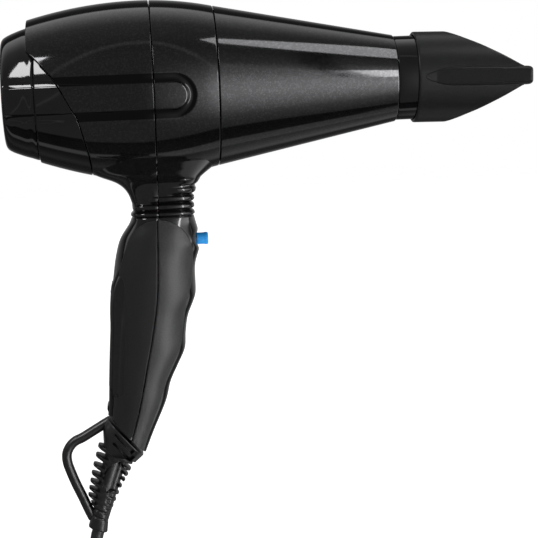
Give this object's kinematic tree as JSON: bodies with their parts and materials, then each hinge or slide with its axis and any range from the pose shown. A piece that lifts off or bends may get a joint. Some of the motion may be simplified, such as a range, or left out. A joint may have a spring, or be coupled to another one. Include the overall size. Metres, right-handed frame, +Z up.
{
  "type": "hair dryer",
  "caption": "Handheld hair dryer with a straight barrel, soft grip, rear filter cap, detachable slot nozzle, cool shot button, rockers, hanging loop and corded plug.",
  "frame": {"origin": "middle of the grip, on the dryer's middle plane, 131 mm below the barrel's axis", "axes": "+X along the barrel's axis towards the nozzle, +Z up from the grip to the barrel, +Y to the left when looking along +X"},
  "size_m": [0.2835, 0.0954, 0.6417],
  "materials": {
    "shell_gloss": "high gloss black",
    "shell_graphite": "dark metallic grey under clear lacquer",
    "nozzle_satin": "fine satin grain",
    "panel_front": "soft touch, fine grain",
    "panel_rear": "soft touch, fine grain",
    "button_blue": "gloss",
    "cord_rubber": "satin",
    "tie_plastic": "satin",
    "steel": "bright",
    "core_steel": "laminated",
    "copper": "enamelled copper",
    "bronze": "sintered",
    "carbon": "matt",
    "mica": "pressed mica sheet",
    "fan_nylon": "moulded",
    "inner_plastic": "moulded",
    "board_green": "solder mask",
    "capacitor_film": "dipped film",
    "loom_pvc": "insulated wire"
  },
  "bodies": {
    "root": {"intake_guard": "shell_gloss", "rear_collar": "shell_gloss", "rear_housing": "shell_graphite", "front_housing": "shell_graphite", "front_cone": "shell_graphite", "outlet_band": "shell_gloss", "outlet_grille": "steel", "grip_rear_left": "panel_rear", "grip_rear_right": "panel_rear", "grip_front_left": "panel_front", "grip_front_right": "panel_front", "fan_shroud": "shell_gloss", "motor_case": "steel", "motor_bracket_rear": "steel", "motor_bracket_front": "steel", "bearing_rear": "bronze", "bearing_front": "bronze", "stator_core": "core_steel", "field_coils": "copper", "carbon_brushes": "carbon", "brush_holders": "bronze", "mica_tube": "mica", "mica_board_upright": "mica", "mica_board_level": "mica", "heating_coil_main": "steel", "heating_coil_boost": "steel", "thermal_cutout": "inner_plastic", "thermal_fuse": "steel", "cool_shot_spring": "steel", "cool_shot_switch": "inner_plastic", "switch_frame": "shell_gloss", "speed_switch": "inner_plastic", "heat_switch": "inner_plastic", "switch_board": "board_green", "suppression_capacitor": "capacitor_film", "wiring_loom": "loom_pvc", "housing_screws": "steel", "cord_clamp": "inner_plastic", "clamp_screws": "steel", "inner_lead": "cord_rubber", "strain_relief": "cord_rubber", "hang_loop": "cord_rubber", "mains_cord": "cord_rubber", "cord_hank": "cord_rubber", "hank_tie": "tie_plastic", "cord_tail": "cord_rubber", "plug": "cord_rubber"},
    "nozzle_ring": {"nozzle_ring": "steel"},
    "nozzle": {"nozzle": "nozzle_satin"},
    "rear_cap": {"rear_cap": "shell_gloss", "rear_mesh": "steel", "dust_filter": "steel"},
    "fan": {"fan_impeller": "fan_nylon", "motor_shaft": "steel", "armature_core": "core_steel", "armature_windings": "copper", "commutator": "copper"},
    "cool_shot_button": {"cool_shot_button": "button_blue"},
    "speed_rocker": {"speed_rocker": "shell_gloss"},
    "heat_rocker": {"heat_rocker": "shell_gloss"}
  },
  "joints": [
    {"name": "nozzle_turn", "type": "hinge", "parent": "root", "child": "nozzle_ring", "pos_m": [0.155, 0, 0.131], "axis": [1, 0, 0], "continuous": true},
    {"name": "nozzle_pull", "type": "slide", "parent": "nozzle_ring", "child": "nozzle", "axis": [1, 0, 0], "range_m": [0, 0.03]},
    {"name": "rear_cap_pull", "type": "slide", "parent": "root", "child": "rear_cap", "axis": [-1, 0, 0], "range_m": [0, 0.025]},
    {"name": "fan_spin", "type": "hinge", "parent": "root", "child": "fan", "pos_m": [0, 0, 0.131], "axis": [1, 0, 0], "continuous": true},
    {"name": "cool_shot_press", "type": "slide", "parent": "root", "child": "cool_shot_button", "axis": [-1, 0, 0], "range_m": [0, 0.003], "stiffness_N_per_m": 600, "springref_m": -0.0005, "deforming": ["cool_shot_spring"]},
    {"name": "speed_rock", "type": "hinge", "parent": "root", "child": "speed_rocker", "pos_m": [-0.0173, 0, 0.0125], "axis": [0, 1, 0], "range_deg": [-8, 8]},
    {"name": "heat_rock", "type": "hinge", "parent": "root", "child": "heat_rocker", "pos_m": [-0.0193, 0, -0.022], "axis": [0, 1, 0], "range_deg": [-8, 8]}
  ]
}
